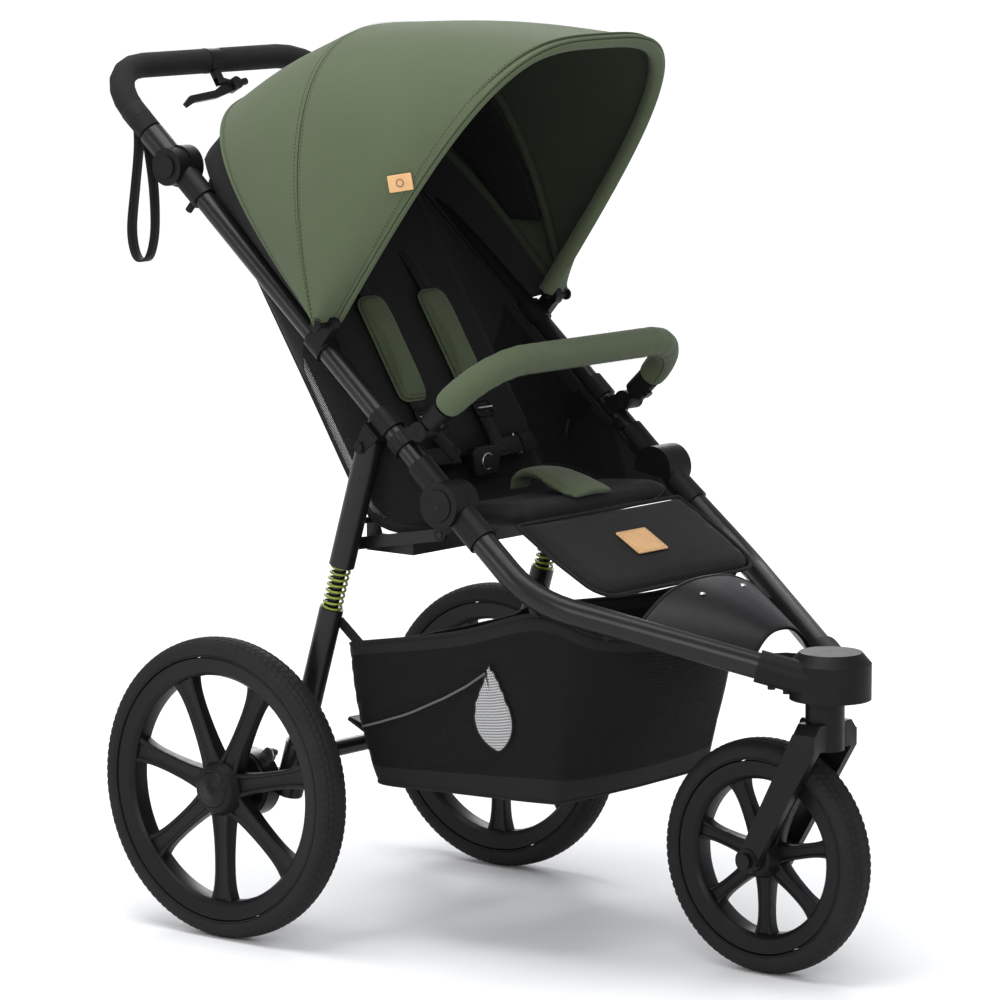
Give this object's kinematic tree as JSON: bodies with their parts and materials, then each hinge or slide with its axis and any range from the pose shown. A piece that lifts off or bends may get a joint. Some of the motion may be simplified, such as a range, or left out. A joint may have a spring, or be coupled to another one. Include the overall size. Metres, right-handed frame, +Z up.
{
  "type": "baby stroller",
  "caption": "Jogging stroller with a folding tubular frame, hooded hammock seat, padded bar, basket, swivelling front wheel and sprung rear legs",
  "frame": {"origin": "on the floor, under the middle of the whole", "axes": "+Z up, -Y the way the child faces, +X the child's left"},
  "size_m": [0.632, 1.1225, 1.1978],
  "materials": {
    "frame_alloy": "matt black",
    "plastic": "fine grained",
    "tyre": "treaded",
    "foam_grip": "fine foam",
    "black_fabric": "woven",
    "olive_fabric": "woven",
    "steel": "bright",
    "spring_paint": "gloss lime",
    "cable": "smooth"
  },
  "bodies": {
    "lower_frame": {"lower_tube_right": "frame_alloy", "lower_tube_left": "frame_alloy", "fold_hub_right": "plastic", "fold_hub_left": "plastic", "nose_casing": "plastic", "footboard": "plastic", "seat_base": "black_fabric", "basket": "black_fabric", "crotch_pad": "olive_fabric", "buckle": "plastic"},
    "buckle_release": {"buckle_button": "plastic"},
    "leg_rest": {"leg_rest": "black_fabric"},
    "fold_links": {"fold_links": "frame_alloy"},
    "fork": {"fork": "plastic", "front_axle": "steel"},
    "swivel_lock": {"swivel_lock": "plastic"},
    "front_wheel": {"front_rim": "plastic", "front_tyre": "tyre"},
    "push_frame": {"push_tube_right": "frame_alloy", "push_tube_left": "frame_alloy", "push_hub_right": "plastic", "push_hub_left": "plastic", "fold_pins": "plastic", "handle_hub_right": "plastic", "handle_hub_left": "plastic", "leg_brackets": "plastic", "canopy_mounts": "plastic", "canopy_bow_rear": "plastic", "canopy_rear_panel": "olive_fabric", "side_panel_right": "black_fabric", "side_panel_left": "black_fabric", "bumper_mounts": "plastic", "brake_cable": "cable"},
    "fold_latches": {"fold_latches": "plastic"},
    "canopy_mid": {"canopy_bow_mid": "plastic"},
    "canopy_front": {"canopy_bow_front": "plastic", "canopy_front_panel": "olive_fabric"},
    "back": {"backrest": "black_fabric", "shoulder_pads": "olive_fabric", "harness_straps": "black_fabric"},
    "bumper_arms": {"bumper_sockets": "plastic"},
    "bumper_buttons": {"bumper_buttons": "plastic"},
    "bumper_bar": {"bumper_bar": "olive_fabric"},
    "handlebar": {"handlebar": "plastic", "handle_grip": "foam_grip", "lever_bracket": "plastic", "wrist_strap": "black_fabric"},
    "handle_button_right": {"handle_button_right": "plastic"},
    "handle_button_left": {"handle_button_left": "plastic"},
    "brake_lever": {"brake_lever": "plastic"},
    "rear_legs": {"rear_legs": "plastic", "rear_brace": "frame_alloy", "springs": "spring_paint"},
    "rear_axle": {"leg_tubes": "frame_alloy", "rear_axle_bar": "plastic"},
    "brake_pedal": {"brake_pedal": "plastic"},
    "rear_wheel_right": {"rear_rim_right": "plastic", "rear_tyre_right": "tyre"},
    "rear_wheel_left": {"rear_rim_left": "plastic", "rear_tyre_left": "tyre"}
  },
  "joints": [
    {"name": "fold", "type": "hinge", "parent": "lower_frame", "child": "push_frame", "pos_m": [0, -0.066, 0.6], "axis": [1, 0, 0], "range_deg": [0, 100], "deforming": ["side_panel_right", "side_panel_left"]},
    {"name": "rear_leg_fold", "type": "hinge", "parent": "push_frame", "child": "rear_legs", "pos_m": [0, 0.07102, 0.66293], "axis": [1, 0, 0], "range_deg": [-34.6, 0]},
    {"name": "fold_link_swing", "type": "hinge", "parent": "lower_frame", "child": "fold_links", "pos_m": [0, -0.0335, 0.5546], "axis": [1, 0, 0], "range_deg": [0, 90.6]},
    {"name": "bumper_fold", "type": "hinge", "parent": "push_frame", "child": "bumper_arms", "pos_m": [0, -0.01585, 0.68864], "axis": [1, 0, 0], "range_deg": [-54.6, 0]},
    {"name": "bumper_pull", "type": "slide", "parent": "bumper_arms", "child": "bumper_bar", "axis": [0, -0.7254, 0.6884], "range_m": [0, 0.04]},
    {"name": "bumper_release", "type": "slide", "parent": "bumper_arms", "child": "bumper_buttons", "axis": [0, 0.6884, 0.7254], "range_m": [0, 0.0025], "stiffness_N_per_m": 800, "springref_m": -0.001},
    {"name": "fold_latch_slide", "type": "slide", "parent": "push_frame", "child": "fold_latches", "axis": [0, 0.7547, 0.6561], "range_m": [0, 0.005], "stiffness_N_per_m": 900, "springref_m": -0.002},
    {"name": "leg_rest_tilt", "type": "hinge", "parent": "lower_frame", "child": "leg_rest", "pos_m": [0, -0.135, 0.573], "axis": [-1, 0, 0], "range_deg": [0, 30]},
    {"name": "buckle_press", "type": "slide", "parent": "lower_frame", "child": "buckle_release", "axis": [0, 1, 0], "range_m": [0, 0.002], "stiffness_N_per_m": 600, "springref_m": -0.001},
    {"name": "fork_swivel", "type": "hinge", "parent": "lower_frame", "child": "fork", "pos_m": [0, -0.496, 0.34], "axis": [0, 0, 1], "continuous": true},
    {"name": "swivel_lock_pull", "type": "slide", "parent": "fork", "child": "swivel_lock", "axis": [0, 1, 0], "range_m": [0, 0.006], "stiffness_N_per_m": 800, "springref_m": -0.002},
    {"name": "front_wheel_spin", "type": "hinge", "parent": "fork", "child": "front_wheel", "pos_m": [0, -0.408, 0.1525], "axis": [1, 0, 0], "continuous": true},
    {"name": "handlebar_tilt", "type": "hinge", "parent": "push_frame", "child": "handlebar", "pos_m": [0, 0.40268, 1.00741], "axis": [1, 0, 0], "range_deg": [-45, 30], "deforming": ["brake_cable", "wrist_strap"]},
    {"name": "handle_press_right", "type": "slide", "parent": "push_frame", "child": "handle_button_right", "axis": [1, 0, 0], "range_m": [0, 0.003], "stiffness_N_per_m": 700, "springref_m": -0.001},
    {"name": "handle_press_left", "type": "slide", "parent": "push_frame", "child": "handle_button_left", "axis": [-1, 0, 0], "range_m": [0, 0.003], "stiffness_N_per_m": 700, "springref_m": -0.001},
    {"name": "brake_squeeze", "type": "hinge", "parent": "handlebar", "child": "brake_lever", "pos_m": [0.028, 0.52672, 1.0972], "axis": [0, 0.8829, -0.4695], "range_deg": [0, 15], "stiffness_Nm_per_rad": 1.2, "springref_deg": -5.73},
    {"name": "canopy_mid_tilt", "type": "hinge", "parent": "push_frame", "child": "canopy_mid", "pos_m": [0, 0.129, 0.817], "axis": [-1, 0, 0], "range_deg": [0, 24], "deforming": ["canopy_rear_panel", "canopy_front_panel"]},
    {"name": "canopy_front_tilt", "type": "hinge", "parent": "canopy_mid", "child": "canopy_front", "pos_m": [0, 0.129, 0.817], "axis": [-1, 0, 0], "range_deg": [0, 48.01]},
    {"name": "recline", "type": "hinge", "parent": "push_frame", "child": "back", "pos_m": [0, 0.105, 0.573], "axis": [-1, 0, 0], "range_deg": [0, 25]},
    {"name": "suspension", "type": "slide", "parent": "rear_legs", "child": "rear_axle", "axis": [0, -0.2894, 0.9572], "range_m": [0, 0.02], "stiffness_N_per_m": 8000, "springref_m": -0.025, "deforming": ["springs"]},
    {"name": "brake_pedal_press", "type": "hinge", "parent": "rear_axle", "child": "brake_pedal", "pos_m": [0, 0.22742, 0.23629], "axis": [-1, 0, 0], "range_deg": [0, 20]},
    {"name": "rear_wheel_right_spin", "type": "hinge", "parent": "rear_axle", "child": "rear_wheel_right", "pos_m": [-0.288, 0.266, 0.2], "axis": [1, 0, 0], "continuous": true},
    {"name": "rear_wheel_left_spin", "type": "hinge", "parent": "rear_axle", "child": "rear_wheel_left", "pos_m": [0.288, 0.266, 0.2], "axis": [1, 0, 0], "continuous": true}
  ],
  "couplings": [
    {"joint": "rear_leg_fold", "follows": "fold", "ratio": -0.34545},
    {"joint": "fold_link_swing", "follows": "fold", "ratio": 0.90455},
    {"joint": "bumper_fold", "follows": "fold", "ratio": -0.54545},
    {"joint": "canopy_front_tilt", "follows": "canopy_mid_tilt", "ratio": 2}
  ]
}
